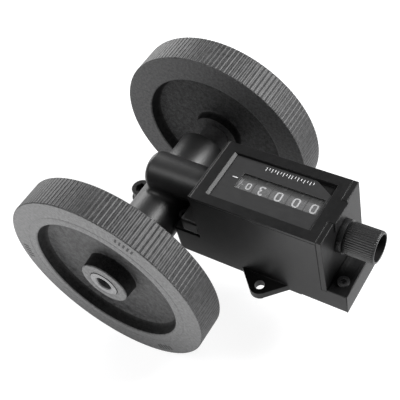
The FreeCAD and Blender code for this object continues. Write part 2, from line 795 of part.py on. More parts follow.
def make_drum(index):
    """Number drum: a shell on a web and hub. All but the first have inner teeth behind the web."""
    x0 = drum_start(index)
    x1 = x0 + drum_pitch - drum_gap
    web_x = x0 if index == 0 else x0 + ring_depth
    inner_r = drum_r - drum_shell
    shell = rod_x(x0, x1, drum_r).cut(rod_x(web_x + drum_web, x1, inner_r))
    cuts = [rod_x(x0 - cutter_overrun, x1 + cutter_overrun, drum_shaft_r + running_gap)]
    if index == 0:
        for side in (-1, 1):
            cuts.append(rod_x(x0 - cutter_overrun, x0 + drum_web + cutter_overrun, dog_r + sliding_gap,
                              side * dog_circle_r))
    else:
        spaces = spur_outline(ring_teeth, 1 - drum_tooth_share, ring_pitch_r + drum_dedendum,
                              ring_pitch_r - drum_addendum, shaft_z, 0.0, x0)
        shell = shell.cut(prism(spaces, V(ring_depth, 0, 0))).fuse(rod_x(x0, web_x, drum_neck_r))
    return shell.fuse(rod_x(web_x, x1, drum_hub_r)).cut(cuts)


def pinion_start(index):
    """Rear face of the pinion inside one drum."""
    return drum_start(index) + (ring_depth - pinion_width) / 2


def make_transfer_pinion(index):
    """Pinion that meshes with the inner teeth of one drum."""
    x0 = pinion_start(index)
    outline = spur_outline(pinion_teeth, drum_tooth_share, pinion_pitch_r + drum_addendum,
                           pinion_pitch_r - drum_dedendum, pinion_z, 0.0, x0)
    return prism(outline, V(pinion_width, 0, 0)).cut(
        rod_x(x0 - cutter_overrun, x0 + ring_depth, stud_r + running_gap, 0.0, pinion_z))


def carrier_x(index):
    """Rear face of the carrier plate behind one drum."""
    return drum_start(index) - (drum_gap + carrier_thickness) / 2


def make_pinion_carriers():
    """Plates between the drums, each with a stud for its pinion and an arm down to the carrier bar."""
    carriers = []
    for index in range(1, drum_count):
        x0 = carrier_x(index)
        x1 = x0 + carrier_thickness
        arm = box(x0, x1, -carrier_arm_half, carrier_arm_half,
                  floor_z + carrier_bar_height - carrier_seat, shaft_z - drum_neck_r)
        stud = rod_x(x1, pinion_start(index) + pinion_width, stud_r, 0.0, pinion_z)
        plate = rod_x(x0, x1, carrier_r).fuse([arm, stud])
        carriers.append(plate.cut(rod_x(x0, x1, drum_shaft_r + carrier_bore_gap)))
    return Part.makeCompound(carriers)


def make_carrier_bar():
    """Bar between the end plates on the case floor, slotted for the carrier arms."""
    bar = box(rear_frame_x + frame_plate, front_frame_x, -carrier_bar_half, carrier_bar_half,
              floor_z, floor_z + carrier_bar_height)
    slots = []
    for index in range(1, drum_count):
        x0 = carrier_x(index)
        slots.append(box(x0, x0 + carrier_thickness, -carrier_arm_half, carrier_arm_half,
                         floor_z + carrier_bar_height - carrier_seat, floor_z + 2 * carrier_bar_height))
    return bar.cut(slots)


def make_frame_plate(x0, bore_r):
    """End plate of the counter frame, standing on the case floor."""
    half = inner_half - frame_side_gap
    plate = box(x0, x0 + frame_plate, -half, half, floor_z, tray_bottom_z - loose_gap)
    cuts = [rod_x(x0, x0 + frame_plate, bore_r)]
    for side in (-1, 1):
        cuts.append(rod_x(x0, x0 + frame_plate, tie_rod_r - tie_rod_shoulder,
                          side * tie_rod_half_spacing, tie_rod_height))
    return plate.cut(cuts)


def make_tie_rods():
    """Two shouldered rods that hold the end plates apart."""
    rods = []
    for side in (-1, 1):
        y = side * tie_rod_half_spacing
        rods.append(rod_x(rear_frame_x + frame_plate, front_frame_x, tie_rod_r, y, tie_rod_height).fuse(
            rod_x(rear_frame_x, front_frame_x + frame_plate, tie_rod_r - tie_rod_shoulder, y,
                  tie_rod_height)))
    return Part.makeCompound(rods)


def make_drum_shaft():
    """Shaft that carries the drums and the knob, with a pick-up groove for resetting."""
    shaft = rod_x(drive_shaft_end_x + loose_gap, knob_floor_x, drum_shaft_r)
    groove = box(drum_back_x, drum_front_x, -drum_shaft_groove, drum_shaft_groove,
                 shaft_z - drum_shaft_r, shaft_z - drum_shaft_r + drum_shaft_groove)
    clip_x = front_frame_x + frame_plate + sliding_gap
    neck = rod_x(clip_x, clip_x + clip_thickness, drum_shaft_r).cut(
        rod_x(clip_x, clip_x + clip_thickness, drum_shaft_r - clip_groove))
    thread = rod_x(knob_floor_x - knob_screw_grip, knob_floor_x, m3_shank_r)
    return shaft.cut([groove, neck, thread])


def make_shaft_clip():
    """Snap ring on the drum shaft in front of the frame."""
    clip_x = front_frame_x + frame_plate + sliding_gap
    ring = rod_x(clip_x, clip_x + clip_thickness, clip_r).cut(
        rod_x(clip_x, clip_x + clip_thickness, drum_shaft_r - clip_groove))
    return ring.cut(box(clip_x, clip_x + clip_thickness, -clip_groove * 2, clip_groove * 2,
                        shaft_z, shaft_z + clip_r))


def make_knob_bush():
    """Flanged bush pressed into the front plate, behind the knob."""
    return rod_x(case_front_x, plate_front_x, bush_nose_r).fuse(
        rod_x(plate_front_x, bush_front_x, bush_flange_r)).cut(
        rod_x(case_front_x - cutter_overrun, bush_front_x + cutter_overrun, drum_shaft_r + running_gap))


def make_knob():
    """Hollow reset knob with straight ridges."""
    points = []
    for i in range(2 * knob_ridges):
        angle = math.pi * i / knob_ridges
        r = knob_r if i % 2 == 0 else knob_r - knob_ridge_height
        points.append(V(knob_rear_x, r * math.sin(angle), shaft_z + r * math.cos(angle)))
    knob = prism(points, V(knob_length, 0, 0))
    limit = rod_x(knob_rear_x, knob_front_x, knob_r)
    limit = limit.makeChamfer(knob_chamfer, [e for e in limit.Edges if len(e.Vertexes) == 1])
    inside = rod_x(knob_floor_x, knob_front_x + cutter_overrun, knob_r - knob_ridge_height - knob_wall)
    return knob.common(limit).cut([inside, rod_x(knob_rear_x - cutter_overrun, knob_front_x, drum_shaft_r)])


def make_knob_screw():
    """Cap screw inside the knob that holds it on the drum shaft."""
    head = rod_x(knob_floor_x, knob_floor_x + knob_screw_head_height, knob_screw_head_r)
    shank = rod_x(knob_floor_x - knob_screw_grip, knob_floor_x, m3_shank_r)
    socket = hexagon_x(knob_floor_x + knob_screw_head_height - m3_socket_depth,
                       knob_floor_x + knob_screw_head_height + cutter_overrun, m3_socket_r, 0.0, shaft_z)
    return head.fuse(shank).cut(socket)


def save_fixed_pieces():
    """Case, covers, housing, frame and their fasteners."""
    save("counter_case", make_case())
    save("base_plate", make_base_plate())
    save("front_foot_screws", make_foot_screws(foot_screw_front_x, front_seat_z))
    save("rear_foot_screws", make_foot_screws(foot_screw_rear_x, rear_foot_height))
    save("front_plate", make_front_plate())
    save("top_cover", make_top_cover())
    save("label_plate", make_label_plate())
    save("window_lens", make_window_lens())
    save("gear_housing", make_gear_housing())
    save("housing_block_screws", make_block_screws())
    save("rear_lug_screw", make_lug_screw())
    save("rear_frame_plate", make_frame_plate(rear_frame_x, coupling_r + running_gap))
    save("front_frame_plate", make_frame_plate(front_frame_x, drum_shaft_r + running_gap))
    save("frame_tie_rods", make_tie_rods())
    save("pinion_carriers", make_pinion_carriers())
    save("carrier_bar", make_carrier_bar())
    save("drive_shaft_rear_bush", make_drive_bush(rear_bush_x))
    save("drive_shaft_front_bush", make_drive_bush(front_bush_x))
    save("knob_bush", make_knob_bush())


def save_axle_pieces():
    """Axle, wheels, bearings and what turns with them."""
    save("axle", make_axle())
    save("axle_gear", make_axle_gear())
    save("axle_gear_pin", make_axle_gear_pin())
    cage, balls = make_ball_set()
    for name, side in NEAR_AND_FAR:
        save(name + "_wheel", on_side(make_wheel(), side))
        save(name + "_hub_sleeve", on_side(make_hub_sleeve(), side))
        save(name + "_set_screw", on_side(make_set_screw(), side))
        save(name + "_bearing_outer_ring", on_side(make_bearing_ring(True), side))
        save(name + "_bearing_inner_ring", on_side(make_bearing_ring(False), side))
        save(name + "_bearing_cage", on_side(cage, side))
        save(name + "_bearing_balls", on_side(balls, side))
        save(name + "_bearing_circlip", on_side(make_circlip(), side))


def save_counter_pieces():
    """Counter shaft, drums, pinions and the reset knob."""
    save("driven_gear", make_driven_gear())
    save("drive_shaft", make_drive_shaft())
    save("driven_gear_pin", make_driven_gear_pin())
    save("drum_coupling", make_coupling())
    save("coupling_pin", make_coupling_pin())
    for index in range(drum_count):
        save("number_drum_" + str(index + 1), make_drum(index))
    for index in range(1, drum_count):
        save("transfer_pinion_" + str(index), make_transfer_pinion(index))
    save("drum_shaft", make_drum_shaft())
    save("drum_shaft_clip", make_shaft_clip())
    save("reset_knob", make_knob())
    save("knob_screw", make_knob_screw())


os.makedirs("parts", exist_ok=True)
save_fixed_pieces()
save_axle_pieces()
save_counter_pieces()
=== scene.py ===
import json
import math

import bmesh
import bpy
from mathutils import Matrix, Vector

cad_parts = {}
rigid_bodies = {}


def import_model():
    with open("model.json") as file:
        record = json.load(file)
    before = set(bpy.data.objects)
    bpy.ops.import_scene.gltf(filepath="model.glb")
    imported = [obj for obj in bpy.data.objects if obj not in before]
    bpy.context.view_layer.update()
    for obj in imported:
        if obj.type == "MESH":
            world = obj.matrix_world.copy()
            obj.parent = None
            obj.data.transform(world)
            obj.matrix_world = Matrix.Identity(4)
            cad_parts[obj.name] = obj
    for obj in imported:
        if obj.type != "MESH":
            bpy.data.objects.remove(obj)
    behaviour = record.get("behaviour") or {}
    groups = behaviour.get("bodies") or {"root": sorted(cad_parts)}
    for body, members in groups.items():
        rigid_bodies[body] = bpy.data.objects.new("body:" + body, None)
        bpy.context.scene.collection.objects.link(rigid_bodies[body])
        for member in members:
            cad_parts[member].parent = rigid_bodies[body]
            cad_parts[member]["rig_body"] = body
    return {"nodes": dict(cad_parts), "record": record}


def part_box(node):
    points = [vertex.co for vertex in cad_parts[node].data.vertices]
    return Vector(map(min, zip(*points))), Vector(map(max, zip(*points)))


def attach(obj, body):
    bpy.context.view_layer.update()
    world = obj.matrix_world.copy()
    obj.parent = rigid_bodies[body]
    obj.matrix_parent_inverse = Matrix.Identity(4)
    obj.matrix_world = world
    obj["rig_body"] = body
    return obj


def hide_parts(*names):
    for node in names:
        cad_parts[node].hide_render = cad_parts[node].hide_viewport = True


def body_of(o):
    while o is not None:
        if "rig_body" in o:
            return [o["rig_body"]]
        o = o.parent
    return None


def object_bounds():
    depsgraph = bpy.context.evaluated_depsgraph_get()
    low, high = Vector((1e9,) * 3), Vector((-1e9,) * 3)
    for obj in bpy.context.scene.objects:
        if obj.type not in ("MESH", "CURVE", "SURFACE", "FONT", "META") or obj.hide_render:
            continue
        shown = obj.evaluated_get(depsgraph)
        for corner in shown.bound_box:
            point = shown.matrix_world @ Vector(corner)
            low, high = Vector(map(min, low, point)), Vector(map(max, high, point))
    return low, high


# Cable length counter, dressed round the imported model.
# Sizes are in millimetres and are turned into metres where a mesh is made. The studio's are in metres.

MM = 0.001
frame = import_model()
cad_low, cad_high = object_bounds()
nodes = frame["nodes"]

# Camera, fitted to the wheels and the case edges of the photograph
camera_place = (141.57, -188.46, 319.66)
camera_azimuth = 44.62
camera_elevation = 48.75
camera_roll = 16.61
camera_lens = 74.54
sensor_width = 36.0
nearest_seen = 0.01
farthest_seen = 100.0

# Studio: each lamp looks from its place at its target, and its power is in watts
card_lift = 0.00125
lamps = {
    "floor_card": dict(place=(-0.17, -0.25, cad_low.z + card_lift), target=(-0.17, -0.25, 1.0),
                       sides=(0.42, 0.34), power=1.25),
    "front_lamp": dict(place=(-0.42, -0.78, 0.12), target=(-0.06, -0.05, 0.02),
                       sides=(0.35, 0.26), power=2.0),
    "fill_lamp": dict(place=(-0.36, -0.42, 0.62), target=(0.0, 0.0, 0.03), sides=(0.3, 0.3), power=1.6),
    "side_lamp": dict(place=(-0.75, 0.4, 0.28), target=(-0.06, -0.02, 0.01), sides=(0.5, 0.45), power=4.5),
    "rear_lamp": dict(place=(0.47, 0.4, 0.6), target=(0.0, 0.0, 0.03), sides=(0.4, 0.3), power=13.0),
}
world_strength = 0.2
floor_half_size = 40.0
floor_glow = 0.85

# Finishes: dark and light are greys or colours, patch and grain are sizes across, height is the grain's depth
finishes = {
    "wheel_plastic": dict(dark=0.012, light=0.075, patch=1.6, rough=(0.42, 0.72), grain=0.45, height=0.05,
                          specular=0.32),
    # The recess and web finishes are darker copies of the wheel plastic, painted shade in the recess: darkest
    # on its walls and the hub's side, lighter on the web
    "wheel_recess_painted_shade": dict(dark=0.002, light=0.014, patch=2.4, rough=(0.5, 0.7), grain=0.6, height=0.05,
                         specular=0.08),
    "wheel_web_painted_shade": dict(dark=0.005, light=0.042, patch=2.4, rough=(0.5, 0.7), grain=0.6, height=0.06,
                      specular=0.14),
    "wheel_tread": dict(dark=0.016, light=0.056, patch=2.4, rough=(0.36, 0.54), grain=0.5, height=0.03,
                        specular=0.32),
    "case_plastic": dict(dark=0.006, light=0.011, patch=4.0, rough=(0.3, 0.46), grain=0.35, height=0.02,
                         specular=0.17),
    "housing_paint": dict(dark=0.009, light=0.016, patch=6.0, rough=(0.36, 0.5), grain=0.6, height=0.03),
    "knob_plastic": dict(dark=0.008, light=0.016, patch=2.0, rough=(0.34, 0.48), grain=0.3, height=0.02),
    "label_sheet": dict(dark=0.018, light=0.024, patch=4.0, rough=(0.3, 0.42), grain=0.4, height=0.01,
                        stretch=(0.08, 1.0, 1.0)),
    "drum_plastic": dict(dark=0.11, light=0.19, patch=1.2, rough=(0.42, 0.55), grain=0.3, height=0.01),
    "bright_steel": dict(dark=0.13, light=0.22, patch=1.5, rough=(0.35, 0.5), grain=0.3, height=0.02,
                         metallic=0.9),
    "dull_steel": dict(dark=0.06, light=0.12, patch=1.5, rough=(0.45, 0.6), grain=0.3, height=0.02,
                       metallic=0.6),
    "black_steel": dict(dark=0.012, light=0.026, patch=1.2, rough=(0.3, 0.48), grain=0.3, height=0.02,
                        metallic=0.6),
    "bronze": dict(dark=(0.42, 0.27, 0.12), light=(0.56, 0.38, 0.18), patch=1.5, rough=(0.3, 0.5), grain=0.3,
                   height=0.02, metallic=1.0),
    "gear_nylon": dict(dark=(0.62, 0.60, 0.52), light=(0.74, 0.72, 0.64), patch=2.0, rough=(0.4, 0.5),
                       grain=0.4, height=0.01),
    "mark_white": dict(dark=0.78, light=0.88, patch=1.0, rough=(0.45, 0.6), grain=0.3, height=0.004),
    # This black is the moulded dashes' own colour, and also painted shade on the axle end, in the knob's cup
    # and on the label's seat
    "mark_and_shade_black": dict(dark=0.004, light=0.008, patch=2.0, rough=(0.5, 0.65), grain=0.3, height=0.01,
                       specular=0.1),
    "floor": dict(dark=0.28, light=0.31, patch=300.0, rough=(0.6, 0.7), grain=40.0, height=0.0, specular=0.1),
}
grey_blue_share = 1.02
patch_detail = 8.0
patch_roughness = 0.7
grain_detail = 3.0
grain_roughness = 0.55
grain_share = 0.35
colour_span = (0.38, 0.64)
full_span = (0.0, 1.0)

# Veil on the lens: dust, and also painted light that lifts the shadow on the drums at the window's far edge
dust_and_fill_grey = 0.13
dust_size = 0.5
dust_detail = 6.0
dust_roughness = 0.7
dust_span = (0.3, 0.7)
dust_and_fill_alpha = (0.08, 0.36)
dust_rough = (0.08, 0.3)

# Wheel
tread_ribs = 142
rib_depth = 0.26
rib_shape = (0.0, 0.55, 1.0, 0.75, 0.6, 0.75, 1.0, 0.55)
rib_fade = 0.2
rib_sharp_degrees = 50.0
wheel_width = 16.1
wheel_edge = 0.5
web_outer_depth = 6.2
web_inner_depth = 6.0
web_outer_fillet = 3.4
web_inner_fillet = 2.6
hub_r = 12.6
hub_web_depth = 7.0
hub_proud = 0.8
hub_draft = 0.3
hub_edge = 0.7
hub_foot_fillet = 0.6
boss_inner_depth = 1.5
boss_edge = 0.5
boss_foot_fillet = 1.8
sleeve_r = 7.4
bore_chamfer = 0.4
rim_inner_r = 39.0
rim_inner_edge = 0.9
rim_foot_r = 37.1
parting_ring_r = 43.4
parting_ring_half_width = 0.35
parting_ring_depth = 0.2
recess_from_rim = 0.3
web_least_facing = 0.8
# The recess walls and the web take darker finishes as painted shade
wheel_finishes = ("wheel_plastic", "wheel_recess_painted_shade", "wheel_tread", "wheel_web_painted_shade")

# Dashes on the rim
rim_mark_r = 48.6
rim_mark_degrees = (30.5, -92.0, 151.6)
rim_mark_count = 5
rim_mark_step = 2.1
rim_mark_half_length = 1.6
rim_mark_stagger = 0.4
rim_mark_width = 0.95

# Edges of the CAD pieces that are dressed with a small round
soft_edges = {
    "counter_case": 0.35, "front_plate": 0.3, "top_cover": 0.25, "label_plate": 0.12, "gear_housing": 0.5,
    "knob_bush": 0.35, "rear_lug_screw": 0.3, "front_foot_screws": 0.2, "rear_foot_screws": 0.2,
    "near_hub_sleeve": 0.15, "far_hub_sleeve": 0.15, "axle": 0.15, "knob_screw": 0.15, "base_plate": 0.2,
}
own_finishes = {
    "near_hub_sleeve": "dull_steel", "far_hub_sleeve": "dull_steel", "front_foot_screws": "dull_steel",
    # The axle end is painted black as the shade of the dark bore round it
    "axle": "mark_and_shade_black",
}
sharp_degrees = 32.0
weld_gap = 0.002
least_edge_share = 2.5
round_segments = 2
round_profile = 0.5
arc_steps = 4

# Seat of the label in the top cover, painted black as shade
seat_least_facing = 0.9
seat_margin = 0.2

# Numerals, as strokes on a cell that runs from -1 to 1 both ways
numeral_half_width = 1.3
numeral_half_height = 2.25
small_numeral_scale = 0.72
small_numeral_shift = -1.9
small_stroke_share = 0.8
stroke_width = 0.72
stroke_height = 0.05
stroke_sink = 0.02
stroke_step = 0.35
same_place = 0.01
arc_step_degrees = 15
corner_height_share = 0.7
digits_per_drum = 10
rest_digits = (0, 3, 0, 0, 0)
graduations = 100
graduations_per_long = 5
graduation_start = 0.4
graduation_long = 2.6
graduation_short = 1.7
graduation_width = 0.22

# Marks on the label: a tick group has its first and last place and its number of ticks
index_dash = ((-21.2, 0.8), (-18.5, 0.8))
index_dash_width = 0.28
tick_groups = ((-8.9, 2.6, 9), (3.9, 14.4, 8))
tick_top = 11.3
tick_feet = (9.2, 10.0)
tick_width = 0.2

# Reset knob
knob_ridges = 44
ridge_shape = (0.0, 0.55, 1.0, 1.0, 0.55)
ridge_depth = 0.42
ridge_from_end = 0.9
knob_lip = 0.45
knob_round = 0.3
knob_small_round = 0.2
knob_back_step = 0.2
knob_back_chamfer = 0.5
knob_cup_r = 6.25
knob_cup_draft = 0.1
knob_cup_fillet = 0.6
knob_cup_depth = 9.0
knob_shaft_r = 2.5


def box_mm(node):
    """Corners of a CAD node in millimetres."""
    low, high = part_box(node)
    return low / MM, high / MM


def link_object(name, data):
    """New object in the scene."""
    thing = bpy.data.objects.new(name, data)
    bpy.context.scene.collection.objects.link(thing)
    return thing


def mesh_from(bm, name):
    """Mesh data with the faces built so far."""
    data = bpy.data.meshes.new(name)
    bm.to_mesh(data)
    bm.free()
    return data


def camera_axes():
    """Right, up and back directions of the fitted camera."""
    azimuth = math.radians(camera_azimuth)
    elevation = math.radians(camera_elevation)
    roll = math.radians(camera_roll)
    forward = Vector((-math.sin(azimuth) * math.cos(elevation), math.cos(azimuth) * math.cos(elevation),
                      -math.sin(elevation)))
    level = forward.cross(Vector((0, 0, 1))).normalized()
    down = forward.cross(level)
    right = math.cos(roll) * level + math.sin(roll) * down
    up = math.sin(roll) * level - math.cos(roll) * down
    return right, up, -forward


def make_camera():
    """Camera where the photograph was taken from."""
    data = bpy.data.cameras.new("camera")
    data.lens = camera_lens
    data.sensor_width = sensor_width
    data.clip_start = nearest_seen
    data.clip_end = farthest_seen
    camera = link_object("camera", data)
    right, up, back = camera_axes()
    turn = Matrix((right, up, back)).transposed().to_4x4()
    camera.matrix_world = Matrix.Translation(Vector(camera_place) * MM) @ turn
    bpy.context.scene.camera = camera


def add_lamp(name, place, target, sides, power):
    """Soft rectangular lamp that looks at a point."""
    data = bpy.data.lights.new(name, "AREA")
    data.shape = "RECTANGLE"
    data.size, data.size_y = sides
    data.energy = power
    lamp = link_object(name, data)
    aim = Vector(target) - Vector(place)
    lamp.matrix_world = Matrix.Translation(Vector(place)) @ aim.to_track_quat("-Z", "Y").to_matrix().to_4x4()


def make_studio():
    """Dim surroundings, a bright patch of floor before the near wheel and four soft lamps."""
    scene = bpy.context.scene
    scene.view_settings.view_transform = "Standard"
    world = bpy.data.worlds.new("studio")
    world.use_nodes = True
    background = world.node_tree.nodes["Background"]
    background.inputs["Color"].default_value = (1.0, 1.0, 1.0, 1.0)
    background.inputs["Strength"].default_value = world_strength
    scene.world = world
    for name, lamp in lamps.items():
        add_lamp(name, **lamp)


def new_material(name):
    """Node material. Returns it with its tree and its Principled shader."""
    material = bpy.data.materials.new(name)
    material.use_nodes = True
    tree = material.node_tree
    return material, tree, tree.nodes["Principled BSDF"]


def noise_node(tree, size, detail, roughness, stretch=(1.0, 1.0, 1.0)):
    """Noise in object space whose grains are about size millimetres across."""
    place = tree.nodes.new("ShaderNodeTexCoord")
    mapping = tree.nodes.new("ShaderNodeMapping")
    mapping.inputs["Scale"].default_value = stretch
    noise = tree.nodes.new("ShaderNodeTexNoise")
    noise.inputs["Scale"].default_value = 1.0 / (size * MM)
    noise.inputs["Detail"].default_value = detail
    noise.inputs["Roughness"].default_value = roughness
    tree.links.new(place.outputs["Object"], mapping.inputs["Vector"])
    tree.links.new(mapping.outputs["Vector"], noise.inputs["Vector"])
    return noise.outputs["Fac"]


def shade(value):
    """Colour from a grey, or the colour itself."""
    return value if isinstance(value, tuple) else (value, value, value * grey_blue_share)


def ramp_node(tree, source, span, dark, light):
    """Colour ramp between two shades over part of the source's range."""
    ramp = tree.nodes.new("ShaderNodeValToRGB")
    for element, position, value in zip(ramp.color_ramp.elements, span, (dark, light)):
        element.position = position
        element.color = (*shade(value), 1.0)
    tree.links.new(source, ramp.inputs["Fac"])
    return ramp.outputs["Color"]


def spread_node(tree, source, span, reach):
    """Number that runs over its reach while the source runs over its span."""
    spread = tree.nodes.new("ShaderNodeMapRange")
    spread.inputs["From Min"].default_value, spread.inputs["From Max"].default_value = span
    spread.inputs["To Min"].default_value, spread.inputs["To Max"].default_value = reach
    tree.links.new(source, spread.inputs["Value"])
    return spread.outputs["Result"]


def surface(name, dark, light, patch, rough, grain, height, metallic=0.0, specular=0.5,
            stretch=(1.0, 1.0, 1.0)):
    """Mottled material with patches in its colour, and a fine grain in colour, gloss and relief."""
    material, tree, shader = new_material(name)
    patches = noise_node(tree, patch, patch_detail, patch_roughness)
    grains = noise_node(tree, grain, grain_detail, grain_roughness, stretch)
    both = tree.nodes.new("ShaderNodeMix")
    both.inputs["Factor"].default_value = grain_share
    tree.links.new(patches, both.inputs["A"])
    tree.links.new(grains, both.inputs["B"])
    colour = ramp_node(tree, both.outputs["Result"], colour_span, dark, light)
    tree.links.new(colour, shader.inputs["Base Color"])
    tree.links.new(spread_node(tree, grains, full_span, rough), shader.inputs["Roughness"])
    bump = tree.nodes.new("ShaderNodeBump")
    bump.inputs["Distance"].default_value = height * MM
    bump.inputs["Strength"].default_value = 1.0
    tree.links.new(grains, bump.inputs["Height"])
    tree.links.new(bump.outputs["Normal"], shader.inputs["Normal"])
    shader.inputs["Metallic"].default_value = metallic
    shader.inputs["Specular IOR Level"].default_value = specular
    return material


def make_lens_material():
    """Clear plastic with a thin veil of dust, which is also painted light over the shadowed drums at the
    window's far edge.
    """
    material, tree, shader = new_material("clear_lens")
    shader.inputs["Base Color"].default_value = (dust_and_fill_grey, dust_and_fill_grey, dust_and_fill_grey, 1.0)
    dust = noise_node(tree, dust_size, dust_detail, dust_roughness)
    for socket, reach in (("Alpha", dust_and_fill_alpha), ("Roughness", dust_rough)):
        tree.links.new(spread_node(tree, dust, dust_span, reach), shader.inputs[socket])
    return material


def make_materials():
    """One material for each finish, and the lens."""
    made = {name: surface(name, **finish) for name, finish in finishes.items()}
    made["clear_lens"] = make_lens_material()
    return made


def make_floor():
    """Pale floor under the wheels."""
    bm = bmesh.new()
    bmesh.ops.create_grid(bm, x_segments=1, y_segments=1, size=floor_half_size)
    floor = link_object("floor", mesh_from(bm, "floor"))
    floor.location.z = cad_low.z
    shader = materials["floor"].node_tree.nodes["Principled BSDF"]
    shader.inputs["Emission Color"].default_value = (1.0, 1.0, 1.0, 1.0)
    shader.inputs["Emission Strength"].default_value = floor_glow
    floor.data.materials.append(materials["floor"])


def new_piece(name, data, body, finish, *replaced):
    """Object from a mesh that rides on a body, takes its slot's finish and may stand for CAD nodes."""
    piece = link_object(name, data)
    data.materials.append(materials[finish])
    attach(piece, body)
    if replaced:
        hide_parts(*replaced)
    return piece


def keep_flats_flat(piece):
    """Normals that follow the larger faces, up to the sharp edges."""
    weighted = piece.modifiers.new("weighted", "WEIGHTED_NORMAL")
    weighted.keep_sharp = True


def rounded_profile(corners):
    """Outline through (r, y, radius) corners, with each corner turned into an arc."""
    points = []
    for i, (r, y, radius) in enumerate(corners):
        here = Vector((r, y))
        if not radius or i in (0, len(corners) - 1):
            points.append(here)
            continue
        before = (Vector(corners[i - 1][:2]) - here).normalized()
        after = (Vector(corners[i + 1][:2]) - here).normalized()
        half = before.angle(after) / 2
        reach = radius / math.tan(half)
        centre = here + (before + after).normalized() * radius / math.sin(half)
        start = here + before * reach - centre
        sweep = math.pi - 2 * half
        if start.x * (here - centre).y - start.y * (here - centre).x < 0:
            sweep = -sweep
        for step in range(arc_steps + 1):
            turn = sweep * step / arc_steps
            points.append(centre + Vector((start.x * math.cos(turn) - start.y * math.sin(turn),
                                           start.x * math.sin(turn) + start.y * math.cos(turn))))
    return points


def turned_mesh(name, points, steps, place_point):
    """Closed mesh swept round an axis. place_point gives a point from the profile point and the step."""
    bm = bmesh.new()
    rings = []
    for step in range(steps):
        rings.append([bm.verts.new(place_point(point, step)) for point in points])
    count = len(points)
    for step in range(steps):
        here, there = rings[step], rings[(step + 1) % steps]
        for i in range(count):
            j = (i + 1) % count
            bm.faces.new((here[i], here[j], there[j], there[i]))
    bmesh.ops.recalc_face_normals(bm, faces=bm.faces)
    for face in bm.faces:
        face.smooth = True
    return mesh_from(bm, name)


def wheel_profile(outer, inner):
    """Section of a wheel from the hub's outer face round the rim to the inner boss, as (r, |y|)."""
    hub_face = outer + hub_proud
    ring_edges = (parting_ring_r - parting_ring_half_width, parting_ring_r + parting_ring_half_width)
    corners = [
        (sleeve_r, inner + boss_inner_depth, 0), (sleeve_r, hub_face - bore_chamfer, 0),
        (sleeve_r + bore_chamfer, hub_face, 0), (hub_r, hub_face, hub_edge),
        (hub_r + hub_draft, outer - hub_web_depth, hub_foot_fillet),
        (rim_foot_r, outer - web_outer_depth, web_outer_fillet), (rim_inner_r, outer, rim_inner_edge),
        (ring_edges[0], outer, 0), (parting_ring_r, outer - parting_ring_depth, 0), (ring_edges[1], outer, 0),
        (wheel_r, outer, wheel_edge), (wheel_r, inner, wheel_edge), (rim_inner_r, inner, rim_inner_edge),
        (rim_foot_r, inner + web_inner_depth, web_inner_fillet),
        (hub_r + hub_draft, inner + web_inner_depth, boss_foot_fillet),
        (hub_r, inner + boss_inner_depth, boss_edge),
    ]
    return rounded_profile(corners)


def wheel_faces(side_name):
    """Distances of a wheel's inner and outer rim faces from the middle of the axle."""
    low, high = box_mm(side_name + "_wheel")
    inner = min(abs(low.y), abs(high.y))
    return inner, inner + wheel_width


def wheel_finish(face, inner, outer):
    """Finish of a wheel's face: tread, rim and hub face, web, or wall of the recess. The web and the walls,
    with the hub's side, are darker as painted shade.
    """
    place = face.center / MM
    r = math.hypot(place.x - axle_x, place.z - axle_z)
    if r > wheel_r - rib_depth - wheel_edge and inner + wheel_edge < abs(place.y) < outer - wheel_edge:
        return "wheel_tread"
    if r >= rim_inner_r - recess_from_rim or (r < hub_r and abs(place.y) > outer):
        return "wheel_plastic"
    # Faces that face along the axle get the web's painted shade, the other recess faces the walls' darker
    # painted shade
    return "wheel_web_painted_shade" if abs(face.normal.y) > web_least_facing else "wheel_recess_painted_shade"


def make_wheel(side_name, side):
    """Wheel with axial ribs on the tread that run out over its rounded edges."""
    steps = tread_ribs * len(rib_shape)
    fade_r = wheel_r - wheel_edge

    def place_point(point, step):
        r, y = point
        weight = min(1.0, max(0.0, (r - fade_r) / rib_fade))
        r -= weight * rib_depth * (1.0 - rib_shape[step % len(rib_shape)])
        angle = 2 * math.pi * step / steps
        return Vector((axle_x + r * math.sin(angle), side * y, axle_z + r * math.cos(angle))) * MM

    inner, outer = wheel_faces(side_name)
    name = side_name + "_wheel_moulding"
    data = turned_mesh(name, wheel_profile(outer, inner), steps, place_point)
    data.set_sharp_from_angle(angle=math.radians(rib_sharp_degrees))
    piece = new_piece(name, data, "wheel_axle", wheel_finishes[0], side_name + "_wheel")
    keep_flats_flat(piece)
    # The web, the recess walls and the hub's side take darker copies of the plastic as painted shade
    for finish in wheel_finishes[1:]:
        data.materials.append(materials[finish])
    for face in data.polygons:
        face.material_index = wheel_finishes.index(wheel_finish(face, inner, outer))


def softened(node_name, width):
    """Copy of a CAD node whose hard edges have a small round."""
    bm = bmesh.new()
    bm.from_mesh(nodes[node_name].data)
    bmesh.ops.remove_doubles(bm, verts=bm.verts, dist=weld_gap * MM)
    hard = [edge for edge in bm.edges if len(edge.link_faces) == 2
            and edge.calc_face_angle(0) > math.radians(sharp_degrees)
            and edge.calc_length() > least_edge_share * width * MM]
    bmesh.ops.bevel(bm, geom=hard, offset=width * MM, offset_type="OFFSET", segments=round_segments,
                    profile=round_profile, affect="EDGES", clamp_overlap=False)
    bmesh.ops.recalc_face_normals(bm, faces=bm.faces)
    data = mesh_from(bm, node_name + "_soft")
    data.shade_smooth()
    data.set_sharp_from_angle(angle=math.radians(sharp_degrees))
    body = body_of(nodes[node_name])[0]
    piece = new_piece(node_name + "_soft", data, body, node_slots[node_name], node_name)
    keep_flats_flat(piece)
    return piece


